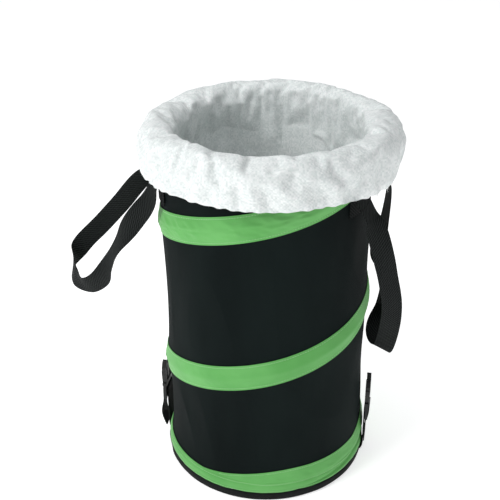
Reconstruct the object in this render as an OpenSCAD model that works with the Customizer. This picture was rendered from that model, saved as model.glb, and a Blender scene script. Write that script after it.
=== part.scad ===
// Pop-up collecting bag: a fabric tube held open by a coiled spring wire,
// with a woven sack rolled over its rim. Millimetres, +Z up, front at -Y.

/* [Bag] */
// Outer diameter of the black fabric tube
body_d = 300; // [260:2:340]
// Height of the bag to the top of its rim binding
body_h = 540; // [480:5:620]
// Thickness of the tube and base fabric
wall_t = 1.2; // [0.8:0.1:2]

/* [Spring and casings] */
// Diameter of the spring-steel wire
wire_d = 2.4; // [2:0.1:2.6]
// Width of the green casing sewn over the spiral wire
band_w = 41; // [34:1:46]
// Height gained by the spiral in one turn
pitch = 231.84; // [200:0.01:260]
// Height of the green casing round the base ring
base_band_top = 33; // [28:1:40]
// Height of the black binding under the base casing
base_bind_h = 10; // [6:1:14]
// Height of the green casing round the rim ring
rim_band_h = 32; // [26:1:36]

/* [Handles] */
// Width of the webbing of handles and straps
web_w = 30; // [25:1:32]
// Thickness of the webbing
web_t = 1.6; // [1.2:0.1:1.8]
// Angle from the side of the bag to each sewn handle end
handle_az = 28; // [22:1:32]
// Length of each handle end sewn to the wall
tab_l = 88; // [70:2:96]

/* [Buckles] */
// Overall width of the side-release buckle
buckle_w = 39; // [36:1:42]
// Length of the female half
female_l = 36; // [32:1:36]
// Height above the floor of the male half's lower edge
male_z = 66; // [60:1:72]

/* [Liner sack] */
// Thickness of the woven sack
liner_t = 0.8; // [0.6:0.1:1]
// How far the rolled cuff stands out past the crest
cuff_out = 26.5; // [22:0.5:28]
// Height of the widest part of the cuff below its crest
cuff_drop = 40.3; // [34:0.1:44]

/* [Hidden] */
$fn = 96;
gap = 0.3;
body_r = body_d / 2;
wall_in = body_r - wall_t;
wire_r = body_r + 2.4;
casing_t = 0.8;
casing_r = body_r + 5.5;
rim_bind_h = 9;
rim_band_top = body_h - rim_bind_h;
rim_band_bot = rim_band_top - rim_band_h;
ring_z = 15.5;
rim_ring_z = (rim_band_top + rim_band_bot) / 2 + 1;
front_az = -80.5;
steel = [0.62, 0.64, 0.66];
green = [0.36, 0.70, 0.33];
black = [0.09, 0.10, 0.11];
webbing = [0.07, 0.08, 0.09];
plastic = [0.05, 0.05, 0.06];
woven = [0.88, 0.90, 0.89];

// ---------- spiral ----------
function ease(t) = let(s = max(0, min(1, t))) s * s * (3 - 2 * s);
// upper edge of the band at f degrees past the front; it lies on the base ring, then climbs
function band_top(f) = f < 62 ? 30 + 25 * ease((f + 55) / 75) : 55 + pitch * (f - 62) / 360;
function band_mid(f) = band_top(f) - band_w / 2;
function polar(r, f, z) = [r * cos(f + front_az), r * sin(f + front_az), z];
// how far the casing stands off the wall over the wire
function bulge(s) = 3.5 * pow(cos(180 * s / (band_w * 1.04)), 2);

// closed tube through rings of points, all rings having the same count
module skin(rings) {
    n = len(rings[0]);
    m = len(rings);
    pts = [for (r = rings) each r];
    sides = [
        for (i = [0 : m - 2], j = [0 : n - 1])
            let(a = i * n + j, b = i * n + (j + 1) % n)
                each [[a, b + n, b], [a, a + n, b + n]]
    ];
    first = [for (j = [0 : n - 1]) j];
    last = [for (j = [n - 1 : -1 : 0]) (m - 1) * n + j];
    polyhedron(pts, concat(sides, [first], [last]), convexity = 8);
}

casing_n = 7;
function casing_ring(f) =
    let(
        lo = max(band_top(f) - band_w, base_band_top + gap),
        hi = min(band_top(f), rim_band_bot - gap),
        zs = [for (k = [0 : casing_n - 1]) lo + (hi - lo) * k / (casing_n - 1)]
    )
    concat(
        [for (z = zs) polar(body_r + gap + bulge(z - band_mid(f)), f, z)],
        [for (k = [casing_n - 1 : -1 : 0])
            polar(body_r + gap + casing_t + bulge(zs[k] - band_mid(f)), f, zs[k])]
    );

// ---------- outlines ----------
// band of thickness t along a 2D path
function tangent2(p, i) =
    let(d = p[min(i + 1, len(p) - 1)] - p[max(i - 1, 0)]) d / norm(d);
module strip(p, t) {
    side = [for (i = [0 : len(p) - 1]) let(d = tangent2(p, i)) [-d[1], d[0]] * t / 2];
    n = len(p) - 1;
    polygon(concat([for (i = [0 : n]) p[i] + side[i]], [for (i = [n : -1 : 0]) p[i] - side[i]]));
}
function arc(c, rx, ry, a, b, n) =
    [for (i = [0 : n]) let(u = a + (b - a) * i / n) [c[0] + rx * cos(u), c[1] + ry * sin(u)]];

// part of a ring, w wide round az, with its section drawn as (radius, height)
module ring_piece(az, r, w) {
    a = 2 * asin(w / 2 / r);
    rotate([0, 0, az - a / 2]) rotate_extrude(angle = a) children();
}

// plate in the YZ plane from x0 to x1, drawn as (y, z)
module plate(x0, x1) {
    translate([x0, 0, 0]) rotate([90, 0, 90]) linear_extrude(x1 - x0) children();
}

// strap of the given width, with its side outline drawn as (x, z)
module side_strap(w) {
    translate([0, w / 2, 0]) rotate([90, 0, 0]) linear_extrude(w) children();
}

module to_left() {
    rotate([0, 0, 180]) children();
}

// ---------- webbing loops ----------
// where the free webbing leaves the sewn end
web_r = casing_r + gap + web_t / 2 + 3.2;
root_u = web_r * cos(handle_az);
root_v = web_r * sin(handle_az);
root_z = body_h - 70;
turn_u = root_u + 13.5;
turn_z = root_z - 26.5;
tan_u = sin(handle_az);
tan_v = cos(handle_az);
// the sewn end stops this far above the root, and the root stops at this share of its first step
root_clear = 5.2;
root_share = 0.7;
// step along the path between cross-sections of a root
root_step = 0.175;

// each entry: outward, sideways, height, then the direction of the webbing's width.
// left: the stiff webbing stands out and turns over at its far end
left_path = [
    [root_u, -root_v, root_z, tan_u, tan_v, 0],
    [turn_u, -74, turn_z, 0.3, 0.95, 0],
    [172, -71, 412, 0.3, 0.95, 0.1],
    [200, -66, 364, 0, 1, 0.15],
    [221, -56, 319, 0.45, 0.6, 0.5],
    [241, -44, 287, 0.75, 0.1, 0.65],
    [268, -30, 272, 0.6, 0, 0.75],
    [292, -6, 275, 0.3, 0, 0.95],
    [303, 25, 286, 0.3, 0.1, 0.95],
    [297, 52, 302, 0.45, 0.15, 0.85],
    [274, 67, 328, 0.65, 0.05, 0.7],
    [242, 72, 364, 0.7, 0, 0.7],
    [203, 74, 411, 0.65, -0.25, 0.6],
    [turn_u, 74, turn_z, 0.3, -0.95, 0],
    [root_u, root_v, root_z, tan_u, -tan_v, 0]
];
// right: the webbing hangs beside the wall and folds to a point
right_path = [
    [root_u, -root_v, root_z, tan_u, tan_v, 0],
    [turn_u, -74, turn_z, 0.45, 0.9, 0],
    [161, -73, 428, 0.8, 0.55, 0.1],
    [171, -71, 393, 0.95, 0.2, 0.25],
    [181, -66, 346, 1, 0, 0.2],
    [187, -55, 292, 1, 0, 0],
    [184, -38, 240, 0.95, 0.1, -0.2],
    [178, -10, 200, 0.9, 0.1, -0.3],
    [172, 20, 208, 0.9, -0.2, -0.2],
    [166, 42, 249, 0.8, -0.5, 0],
    [166, 56, 293, 0.6, -0.8, 0],
    [168, 66, 339, 0.4, -0.9, 0],
    [170, 72, 380, 0.2, -1, 0],
    [171, 74, 428, 0.25, -1, 0],
    [turn_u, 74, turn_z, 0.3, -0.95, 0],
    [root_u, root_v, root_z, tan_u, -tan_v, 0]
];

// smooth curve through the entries; u counts entries from 0
function knot(p, i) =
    i < 0 ? 2 * p[0] - p[1] : i >= len(p) ? 2 * p[len(p) - 1] - p[len(p) - 2] : p[i];
function on_path(p, u) =
    let(
        i = min(floor(u), len(p) - 2),
        t = u - i,
        a = knot(p, i - 1),
        b = knot(p, i),
        c = knot(p, i + 1),
        d = knot(p, i + 2)
    )
    0.5 * (2 * b + (c - a) * t + (2 * a - 5 * b + 4 * c - d) * t * t
        + (3 * b - a - 3 * c + d) * t * t * t);
function last(path) = len(path) - 1;
function xyz(v) = [v[0], v[1], v[2]];
function unit(v) = v / norm(v);
function web_ring(p, u) =
    let(
        q = on_path(p, u),
        c = xyz(q),
        along = unit(xyz(on_path(p, u + 0.02)) - xyz(on_path(p, u - 0.02))),
        w0 = [q[3], q[4], q[5]],
        w = unit(w0 - (w0 * along) * along),
        n = cross(along, w)
    )
    [
        c - w * web_w / 2 - n * web_t / 2,
        c + w * web_w / 2 - n * web_t / 2,
        c + w * web_w / 2 + n * web_t / 2,
        c - w * web_w / 2 + n * web_t / 2
    ];
module web_run(p, from, to, step) {
    n = ceil((to - from) / step);
    skin([for (i = [0 : n]) web_ring(p, from + (to - from) * i / n)]);
}

// ---------- base ----------
module base_panel() {
    color(black) cylinder(r = body_r, h = wall_t);
}

module base_binding() {
    color(webbing)
    rotate_extrude()
    translate([body_r + gap, 0])
    square([2, base_bind_h]);
}

module base_casing() {
    color(green)
    rotate_extrude()
    difference() {
        translate([body_r + gap, base_bind_h + gap])
            square([casing_r - body_r - gap, base_band_top - base_bind_h - gap]);
        translate([body_r, base_bind_h + gap + casing_t])
            square([casing_r - casing_t - body_r, base_band_top]);
    }
}

module base_wire() {
    color(steel)
    rotate_extrude()
    translate([wire_r, ring_z])
    circle(d = wire_d, $fn = 24);
}

// crimped sleeve that joins the foot of the spiral to the base ring
module base_wire_sleeve() {
    color(steel)
    rotate([0, 0, front_az - 20])
    rotate_extrude(angle = 3)
    difference() {
        translate([body_r + 0.4, ring_z - 2.2]) square([4, 12]);
        translate([wire_r, ring_z]) circle(d = wire_d + gap, $fn = 24);
        translate([wire_r - wire_d / 2 - 0.2, ring_z + 3.6]) square([wire_d + 0.4, 4.8]);
    }
}

module wall_fabric() {
    color(black)
    rotate_extrude()
    translate([wall_in, wall_t + gap])
    square([wall_t, rim_band_bot - gap - wall_t - gap]);
}

module spiral_casing() {
    from = -34;
    to = 811;
    n = 140;
    color(green) skin([for (i = [0 : n]) casing_ring(from + (to - from) * i / n)]);
}

module spiral_wire() {
    from = -20;
    to = 779;
    n = 132;
    k = 8;
    color(steel)
    skin([
        for (i = [0 : n])
            let(f = from + (to - from) * i / n)
            [
                for (j = [0 : k - 1])
                    let(u = 360 * j / k, r = wire_d / 2)
                    polar(wire_r + r * cos(u), f, band_mid(f) + r * sin(u))
            ]
    ]);
}

// ---------- rim ----------
module rim_casing() {
    color(green)
    rotate_extrude()
    difference() {
        translate([wall_in, rim_band_bot]) square([casing_r - wall_in, rim_band_h]);
        translate([body_r, rim_band_bot + 1])
            square([casing_r - casing_t - body_r, rim_band_h - 2]);
    }
}

module rim_binding() {
    color(webbing)
    rotate_extrude()
    translate([body_r + 1, 0]) {
        translate([-2, rim_band_top + gap]) square([4, rim_bind_h - gap - 2]);
        translate([0, body_h - 2]) circle(r = 2, $fn = 32);
    }
}

module rim_wire() {
    color(steel)
    rotate_extrude()
    translate([wire_r, rim_ring_z])
    circle(d = wire_d, $fn = 24);
}

module rim_wire_sleeve() {
    color(steel)
    rotate([0, 0, 118])
    rotate_extrude(angle = 6)
    difference() {
        translate([wire_r - 2, rim_ring_z - 2.2]) square([4, 4.4]);
        translate([wire_r, rim_ring_z]) circle(d = wire_d + gap, $fn = 24);
    }
}

// handle end: sewn flat to the wall, folded over at the rim and hanging free in front of itself
module handle_tab(az) {
    r0 = casing_r + gap + web_t / 2;
    r1 = web_r;
    top = rim_band_top - 6;
    color(webbing)
    ring_piece(az, web_r, web_w)
    strip(
        concat(
            [[r0, top - tab_l + 6]],
            arc([(r0 + r1) / 2, top], (r1 - r0) / 2, (r1 - r0) / 2, 180, 0, 10),
            [[r1, root_z + root_clear]]
        ),
        web_t
    );
}
module handle_left_front_tab() handle_tab(180 + handle_az);
module handle_left_rear_tab() handle_tab(180 - handle_az);
module handle_right_front_tab() handle_tab(-handle_az);
module handle_right_rear_tab() handle_tab(handle_az);

// ---------- handles ----------
module handle_left_front_root() {
    color(webbing) mirror([1, 0, 0]) web_run(left_path, 0, root_share, root_step);
}
module handle_left_rear_root() {
    color(webbing) mirror([1, 0, 0])
        web_run(left_path, last(left_path) - root_share, last(left_path), root_step);
}
module handle_left_loop() {
    color(webbing) mirror([1, 0, 0]) web_run(left_path, 1, last(left_path) - 1, 0.25);
}
module handle_right_front_root() {
    color(webbing) web_run(right_path, 0, root_share, root_step);
}
module handle_right_rear_root() {
    color(webbing)
        web_run(right_path, last(right_path) - root_share, last(right_path), root_step);
}
module handle_right_loop() {
    color(webbing) web_run(right_path, 1, last(right_path) - 1, 0.25);
}

// ---------- side straps and buckles ----------
strap_in = body_r + 7.8;
strap_out = strap_in + 7.2;
bar_in = strap_in + 0.8 + gap + 0.4;
bar_out = strap_out - 0.8 - gap - 0.4;
slot_top = male_z + 20;

// from the base seam, up through the buckle's upper slot, and back down as a free tail
module base_strap() {
    color(webbing)
    side_strap(web_w)
    strip(
        concat(
            [[body_r + 4.2, 4], [body_r + 7.3, 12], [strap_in, 34], [strap_in, slot_top - 4]],
            arc([(strap_in + strap_out) / 2, slot_top - 3.6], 3.6, 3.2, 180, 0, 10),
            [
                [strap_out, male_z + 2], [strap_out + 0.6, male_z - 8], [strap_out + 4, 42],
                [strap_out + 3.6, 30], [strap_out + 0.4, 18], [strap_out - 2.4, 10]
            ]
        ),
        web_t - 0.2
    );
}

module male_buckle() {
    hw = buckle_w / 2;
    z = male_z;
    color(plastic) {
        plate(bar_in, bar_out)
        difference() {
            translate([-hw, z]) square([buckle_w, 27]);
            translate([-web_w / 2 - 1, z + 4]) square([web_w + 2, 5]);
            translate([-web_w / 2 - 1, z + 14]) square([web_w + 2, 7]);
        }
        plate(bar_in - 1.2, bar_out + 1.2) translate([-hw, z + 24]) square([buckle_w, 6]);
        plate(bar_in, bar_out) translate([-4.5, z + 29]) square([9, 30]);
        for (s = [0, 1])
            mirror([0, s, 0])
            plate(bar_in - 1.2, bar_out + 1.2)
            polygon([
                [hw - 8, z + 29], [hw - 2, z + 29], [hw - 1.3, z + 38], [hw, z + 46], [hw, z + 53],
                [hw - 1.7, z + 55], [hw - 2, z + 59], [hw - 6, z + 66], [hw - 10.5, z + 69.5],
                [hw - 11.5, z + 67], [hw - 7.3, z + 61], [hw - 5.6, z + 54], [hw - 6, z + 42]
            ]);
    }
}

module base_strap_left() to_left() base_strap();
module base_strap_right() base_strap();
module male_buckle_left() to_left() male_buckle();
module male_buckle_right() male_buckle();

// short strap under the rim and the socket half that hangs on it
female_top = rim_band_top - 11;
female_bot = female_top - female_l;
loop_in = casing_r + gap + web_t / 2;
loop_out = loop_in + 7.2;
module rim_strap() {
    color(webbing)
    side_strap(web_w)
    strip(
        concat(
            [[loop_in, rim_band_top - 3], [loop_in, female_top - 6]],
            arc([(loop_in + loop_out) / 2, female_top - 7], 3.6, 3.6, 180, 360, 10),
            [[loop_out, female_top - 6], [loop_out, rim_band_top - 6]]
        ),
        web_t - 0.2
    );
}

module female_buckle() {
    hw = buckle_w / 2;
    b0 = loop_in + 1.2;
    b1 = loop_out - 1.2;
    body_top = female_top - 13;
    color(plastic) {
        // the bar that the strap turns round, and the two cheeks that carry it
        plate(b0, b1)
        difference() {
            translate([-hw, body_top]) square([buckle_w, 13]);
            translate([-web_w / 2 - 1, body_top]) square([web_w + 2, 8]);
        }
        // socket body, open below, with a window in each side for the prongs
        difference() {
            plate(b0 - 2.2, b1 + 5)
                translate([-hw, female_bot]) square([buckle_w, body_top - female_bot]);
            plate(b0 - 0.8, b1 + 3.4)
                translate([-hw + 2, female_bot - 1]) square([buckle_w - 4, body_top - female_bot - 1]);
            plate(b0 - 0.8, b1 + 3.4)
                translate([-hw - 1, female_bot + 7]) square([buckle_w + 2, 9]);
        }
    }
}

module rim_strap_left() to_left() rim_strap();
module rim_strap_right() rim_strap();
module female_buckle_left() to_left() female_buckle();
module female_buckle_right() female_buckle();

// ---------- liner sack ----------
liner_r = wall_in - 1 - liner_t / 2;
liner_split = body_h - 1.7;
module liner_sack() {
    color(woven)
    rotate_extrude()
    difference() {
        translate([0, 3]) square([liner_r + liner_t / 2, liner_split - gap - 3]);
        translate([-1, 3 + liner_t]) square([liner_r - liner_t / 2 + 1, body_h]);
    }
}

// folded and stitched bottom edge of the sack
module liner_bottom_fold() {
    color(woven) translate([-125, -12, 4.1]) cube([250, 24, 1.8]);
}

// the turn over the rim, and below it the cuff that hangs outside
crest = 10;
cuff_c = [liner_r + crest, liner_split + crest - cuff_drop];
cuff_seam = 48;
module liner_turn() {
    color(woven)
    rotate_extrude()
    strip(
        concat(
            arc([liner_r + crest, liner_split], crest, crest, 180, 90, 10),
            arc(cuff_c, cuff_out, cuff_drop, 84, cuff_seam, 6)
        ),
        liner_t
    );
}

module liner_cuff() {
    color(woven)
    rotate_extrude()
    strip(
        concat(
            arc(cuff_c, cuff_out, cuff_drop, cuff_seam - 0.6, 0, 9),
            arc(cuff_c, cuff_out, 28, -6, -42, 6)
        ),
        liner_t
    );
}

base_panel();
base_binding();
base_casing();
base_wire();
base_wire_sleeve();
wall_fabric();
spiral_casing();
spiral_wire();
rim_casing();
rim_binding();
rim_wire();
rim_wire_sleeve();
handle_left_front_tab();
handle_left_rear_tab();
handle_right_front_tab();
handle_right_rear_tab();
handle_left_front_root();
handle_left_rear_root();
handle_left_loop();
handle_right_front_root();
handle_right_rear_root();
handle_right_loop();
base_strap_left();
male_buckle_left();
base_strap_right();
male_buckle_right();
rim_strap_left();
female_buckle_left();
rim_strap_right();
female_buckle_right();
liner_sack();
liner_bottom_fold();
liner_turn();
liner_cuff();
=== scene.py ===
"""Looks of the pop-up collecting bag, in metres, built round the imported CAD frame."""

import math

import bpy
import numpy as np
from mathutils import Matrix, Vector, noise


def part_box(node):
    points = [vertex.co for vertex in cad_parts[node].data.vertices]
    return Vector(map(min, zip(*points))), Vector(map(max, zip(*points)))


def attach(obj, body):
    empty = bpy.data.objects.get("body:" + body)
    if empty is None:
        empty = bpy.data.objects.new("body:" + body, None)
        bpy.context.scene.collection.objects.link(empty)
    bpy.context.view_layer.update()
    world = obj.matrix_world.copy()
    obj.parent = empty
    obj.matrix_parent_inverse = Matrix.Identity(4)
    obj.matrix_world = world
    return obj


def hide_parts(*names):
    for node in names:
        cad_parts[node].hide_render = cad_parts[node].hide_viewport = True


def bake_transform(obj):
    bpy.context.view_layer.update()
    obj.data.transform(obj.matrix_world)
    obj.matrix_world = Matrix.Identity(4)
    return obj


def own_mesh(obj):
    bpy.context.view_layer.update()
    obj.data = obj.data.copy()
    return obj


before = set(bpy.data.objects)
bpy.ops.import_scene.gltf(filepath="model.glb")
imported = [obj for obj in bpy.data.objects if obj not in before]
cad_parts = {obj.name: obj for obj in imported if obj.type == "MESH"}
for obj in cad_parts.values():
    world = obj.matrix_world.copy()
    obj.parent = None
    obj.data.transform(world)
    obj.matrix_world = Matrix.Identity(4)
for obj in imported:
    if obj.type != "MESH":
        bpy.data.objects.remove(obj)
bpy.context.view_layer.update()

MM = 0.001

# ---------- sizes in metres, from the frame where it has them ----------
BODY_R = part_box("wall_fabric")[1].x
RIM_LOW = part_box("rim_casing")[0].z
RIM_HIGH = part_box("rim_casing")[1].z
RIM_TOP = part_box("rim_binding")[1].z
CASING_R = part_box("rim_casing")[1].x
BASE_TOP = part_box("base_casing")[1].z
TAPE_TOP = 15 * MM
BINDING_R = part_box("base_binding")[1].x
SACK_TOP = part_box("liner_sack")[1].z
CREST_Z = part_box("liner_turn")[1].z
CUFF_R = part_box("liner_cuff")[1].x
CUFF_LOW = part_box("liner_cuff")[0].z

WEB_W = 30 * MM
WEB_T = 1.6 * MM
BAND_W = 41 * MM
PITCH = 231.84 * MM
FRONT = math.radians(-80.5)
WIRE_R = 152.4 * MM
WIRE_D = 2.4 * MM
HANDLE_AZ = math.radians(28)
ROOT_R = 159.8 * MM
ROOT_Z = RIM_TOP - 70 * MM
TAB_L = 88 * MM
FOLD_DOWN = 6 * MM

# first and last turn of the spiral casing and its wire, in degrees past the front
SPIRAL_FROM, SPIRAL_TO = -39.0, 811.0
WIRE_FROM, WIRE_TO = -20, 779


# ---------- helpers ----------
def unit(v):
    return v / np.linalg.norm(v, axis=-1, keepdims=True)


def ease(t):
    s = np.clip(t, 0, 1)
    return s * s * (3 - 2 * s)


def field(points, size, seed, octaves=2):
    """Smooth noise at each point, about -1 to 1, with features of the given size."""
    shift = Vector((seed * 7.31, seed * 3.17, seed * 5.71))
    flat = np.asarray(points, float).reshape(-1, 3) / size
    values = [noise.fractal(Vector(p) + shift, 1.0, 2.0, octaves) for p in flat]
    return np.clip(np.array(values) * 1.6, -1.2, 1.2).reshape(np.shape(points)[:-1])


def around(r, angle, z):
    """Points at radius r, angle and height z about the bag's axis."""
    return np.stack(np.broadcast_arrays(r * np.cos(angle), r * np.sin(angle), z), -1).astype(float)


def full_turn(count):
    return np.linspace(0, 2 * np.pi, count, endpoint=False)


def girth(count):
    """Metres of cloth round the bag, at both edges of each of so many columns."""
    return np.linspace(0, 2 * np.pi * BODY_R, count + 1)


def run_length(points):
    """Metres along a line of points, from 0 at its first."""
    return np.append(0, np.cumsum(np.linalg.norm(np.diff(points, axis=0), axis=1)))


def between(a, b, c, d, t):
    """Smooth curve from b to c, where a and d are the values before and after them."""
    bend = 2 * a - 5 * b + 4 * c - d
    return 0.5 * (2 * b + (c - a) * t + bend * t**2 + (3 * b - a - 3 * c + d) * t**3)


def grid_faces(rows, cols, wrap):
    i = np.arange(rows - 1)[:, None]
    j = np.arange(cols if wrap else cols - 1)[None, :]
    k = (j + 1) % cols
    faces = np.stack([i * cols + j, i * cols + k, (i + 1) * cols + k, (i + 1) * cols + j], -1)
    return faces.reshape(-1, 4)


def link(name, points, faces, material, uv=None):
    """A smooth mesh object; uv holds one pair of metres for each face corner."""
    mesh = bpy.data.meshes.new(name)
    mesh.from_pydata(np.reshape(points, (-1, 3)).tolist(), [], [list(map(int, f)) for f in faces])
    if uv is not None:
        layer = mesh.uv_layers.new(name="cloth")
        layer.data.foreach_set("uv", np.asarray(uv, np.float32).ravel())
    mesh.polygons.foreach_set("use_smooth", np.ones(len(mesh.polygons), bool))
    mesh.materials.append(material)
    mesh.update()
    obj = bpy.data.objects.new(name, mesh)
    bpy.context.scene.collection.objects.link(obj)
    return obj


def thicken(obj, thick, offset):
    shell = obj.modifiers.new("thickness", "SOLIDIFY")
    shell.thickness = thick
    shell.offset = offset


def cloth(name, grid, u, v, material, wrap=False, thick=0.0):
    """A sheet through a grid of points, with its thickness on the inner side.

    u and v are metres of cloth, with one more column if the sheet wraps.
    """
    rows, cols = grid.shape[:2]
    faces = grid_faces(rows, cols, wrap)
    wide = cols + 1 if wrap else cols
    uv = np.stack(np.broadcast_arrays(u, v), -1).reshape(rows, wide, 2)
    corners = np.stack([uv[:-1, :-1], uv[:-1, 1:], uv[1:, 1:], uv[1:, :-1]], 2)
    obj = link(name, grid, faces, material, corners.reshape(-1, 2))
    if thick:
        ends = np.empty(2 * len(obj.data.edges), np.int32)
        obj.data.edges.foreach_get("vertices", ends)
        ends = ends.reshape(-1, 2)
        border = (ends < cols).all(1) | (ends >= (rows - 1) * cols).all(1)
        obj.data.edges.foreach_set("use_edge_sharp", border)
        thicken(obj, thick, -1)
    return obj


def place(obj, body, slot, *nodes):
    """Ties a finished piece to its body and hides the CAD nodes that it stands for; slot is not used.
    """
    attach(obj, body)
    if nodes:
        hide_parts(*nodes)
    return obj


def fold_down(obj):
    """Gives the wall, the spiral or what is sewn to them a mesh of its own."""
    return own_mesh(obj)


# ---------- materials ----------
def shader(name, colour, roughness, metallic=0.0, specular=0.5, sheen=0.0):
    mat = bpy.data.materials.new(name)
    mat.use_nodes = True
    bsdf = mat.node_tree.nodes["Principled BSDF"]
    bsdf.inputs["Base Color"].default_value = (*colour, 1)
    bsdf.inputs["Roughness"].default_value = roughness
    bsdf.inputs["Metallic"].default_value = metallic
    bsdf.inputs["Specular IOR Level"].default_value = specular
    bsdf.inputs["Sheen Weight"].default_value = sheen
    bsdf.inputs["Sheen Roughness"].default_value = 0.4
    return mat, bsdf


def add(mat, kind, **sockets):
    """One node. Keys are input names, or i and a number, or p__ and the name of a property."""
    node = mat.node_tree.nodes.new(kind)
    for key, value in sockets.items():
        if key.startswith("p__"):
            setattr(node, key[3:], value)
            continue
        numbered = key[0] == "i" and key[1:].isdigit()
        socket = node.inputs[int(key[1:]) if numbered else key.replace("_", " ")]
        if isinstance(value, bpy.types.NodeSocket):
            mat.node_tree.links.new(value, socket)
        else:
            socket.default_value = value
    return node


def maths(mat, operation, a, b=0.0):
    return add(mat, "ShaderNodeMath", p__operation=operation, i0=a, i1=b).outputs[0]


def weave_height(mat, pitch, diagonal=0.0):
    """Height of woven yarns over the cloth's own metres: over and under squares, or twill lines."""
    uv = add(mat, "ShaderNodeUVMap", p__uv_map="cloth").outputs[0]
    split = add(mat, "ShaderNodeSeparateXYZ", Vector=uv)
    across, up = split.outputs[0], split.outputs[1]
    if diagonal:
        tilted = maths(mat, "MULTIPLY_ADD", up, diagonal)
        mat.node_tree.links.new(across, tilted.node.inputs[2])
        line = maths(mat, "SINE", maths(mat, "MULTIPLY", tilted, 2 * math.pi / pitch))
        yarn = maths(mat, "SINE", maths(mat, "MULTIPLY", up, 2 * math.pi / (pitch * 0.8)))
        return maths(mat, "ADD", line, maths(mat, "MULTIPLY", yarn, 0.3))
    one = maths(mat, "SINE", maths(mat, "MULTIPLY", across, math.pi / pitch))
    two = maths(mat, "SINE", maths(mat, "MULTIPLY", up, math.pi / pitch))
    return maths(mat, "MULTIPLY", one, two)


def mottle(mat, scale, detail=3.0, stretch=(1, 1, 1)):
    """Slow variation over the object, from 0 to 1."""
    where = add(mat, "ShaderNodeTexCoord").outputs["Object"]
    mapped = add(mat, "ShaderNodeMapping", Vector=where, Scale=stretch).outputs[0]
    return add(mat, "ShaderNodeTexNoise", Vector=mapped, Scale=scale, Detail=detail).outputs[0]


def tint(mat, bsdf, factor, dark, light, low=0.35, high=0.65):
    """Base colour between two tones, as the factor goes from low to high."""
    ramp = mat.node_tree.nodes.new("ShaderNodeValToRGB")
    ramp.color_ramp.elements[0].position = low
    ramp.color_ramp.elements[1].position = high
    ramp.color_ramp.elements[0].color = (*dark, 1)
    ramp.color_ramp.elements[1].color = (*light, 1)
    mat.node_tree.links.new(factor, ramp.inputs[0])
    mat.node_tree.links.new(ramp.outputs[0], bsdf.inputs["Base Color"])


def bump(mat, bsdf, height, distance, strength=1.0, under=None):
    """Fine relief, added to the relief given as under."""
    node = add(mat, "ShaderNodeBump", Strength=strength, Distance=distance, Height=height)
    if under is not None:
        mat.node_tree.links.new(under, node.inputs["Normal"])
    mat.node_tree.links.new(node.outputs[0], bsdf.inputs["Normal"])
    return node.outputs[0]


FINE_WEAVE = 0.8 * MM
SACK_WEAVE = 2.4 * MM


def black_fabric():
    mat, bsdf = shader("black_fabric", (0.005, 0.009, 0.009), 0.75, specular=0.06)
    streaks = mottle(mat, 9, stretch=(1, 1, 0.3))
    tint(mat, bsdf, streaks, (0.0035, 0.0065, 0.0065), (0.0065, 0.0115, 0.011))
    soft = bump(mat, bsdf, mottle(mat, 60, stretch=(1, 1, 0.5)), 0.0012, 0.5)
    bump(mat, bsdf, weave_height(mat, FINE_WEAVE), 0.00012, 0.8, soft)
    return mat


def green_fabric():
    mat, bsdf = shader("green_fabric", (0.14, 0.46, 0.125), 0.5, specular=0.25)
    tint(mat, bsdf, mottle(mat, 14), (0.112, 0.40, 0.094), (0.148, 0.47, 0.125))
    soft = bump(mat, bsdf, mottle(mat, 90), 0.0008, 0.5)
    bump(mat, bsdf, weave_height(mat, FINE_WEAVE), 0.0001, 0.8, soft)
    return mat


def thread(name, colour, specular):
    mat, bsdf = shader(name, colour, 0.6, specular=specular)
    bump(mat, bsdf, mottle(mat, 1500), 0.0002, 0.6)
    return mat


def tape_fabric():
    mat, bsdf = shader("binding_tape", (0.006, 0.007, 0.007), 0.7, specular=0.12)
    tint(mat, bsdf, mottle(mat, 40), (0.005, 0.006, 0.006), (0.010, 0.012, 0.012))
    bump(mat, bsdf, weave_height(mat, 1.1 * MM, diagonal=0.05), 0.00025, 0.8)
    return mat


def webbing_fabric():
    mat, bsdf = shader("webbing", (0.007, 0.009, 0.009), 0.7, specular=0.1)
    height = weave_height(mat, 4.6 * MM, diagonal=1.0)
    # painted highlight and shade: the twill ridges are painted lighter and the grooves darker from the
    # weave height, on top of its bump
    painted_ridge_light = maths(mat, "MULTIPLY_ADD", height, 0.25)
    painted_ridge_light.node.inputs[2].default_value = 0.5
    tint(mat, bsdf, painted_ridge_light, (0.001, 0.0015, 0.0015), (0.027, 0.032, 0.031), 0.15, 0.95)
    bump(mat, bsdf, height, 0.0005, 0.9)
    return mat


def woven_sack():
    """Flat white tapes. Each square of the weave is painted a little lighter or darker, a painted
    reflection of how it catches the light, over a slow random tone.
    """
    mat, bsdf = shader("woven_sack", (0.76, 0.79, 0.78), 0.42, specular=0.45)
    uv = add(mat, "ShaderNodeUVMap", p__uv_map="cloth").outputs[0]
    cells = add(mat, "ShaderNodeVectorMath", p__operation="SCALE", i0=uv,
                Scale=1 / SACK_WEAVE).outputs[0]
    whole = add(mat, "ShaderNodeVectorMath", p__operation="FLOOR", i0=cells).outputs[0]
    square = add(mat, "ShaderNodeTexWhiteNoise", Vector=whole).outputs["Value"]
    # painted reflection: each weave square gets its own brightness; the slow mottle is random tone of
    # the cloth
    square_glints, slow = maths(mat, "MULTIPLY", square, 0.6), maths(mat, "MULTIPLY", mottle(mat, 25), 0.4)
    glints_and_tone = maths(mat, "ADD", square_glints, slow)
    tint(mat, bsdf, glints_and_tone, (0.68, 0.73, 0.72), (0.88, 0.91, 0.90), 0.15, 0.8)
    soft = bump(mat, bsdf, mottle(mat, 40), 0.003, 0.2)
    lumpy = maths(mat, "ADD", weave_height(mat, SACK_WEAVE), square)
    bump(mat, bsdf, lumpy, 0.00025, 0.5, soft)
    bsdf.inputs["Subsurface Weight"].default_value = 0.15
    bsdf.inputs["Subsurface Radius"].default_value = (0.006, 0.007, 0.0065)
    return mat


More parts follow.
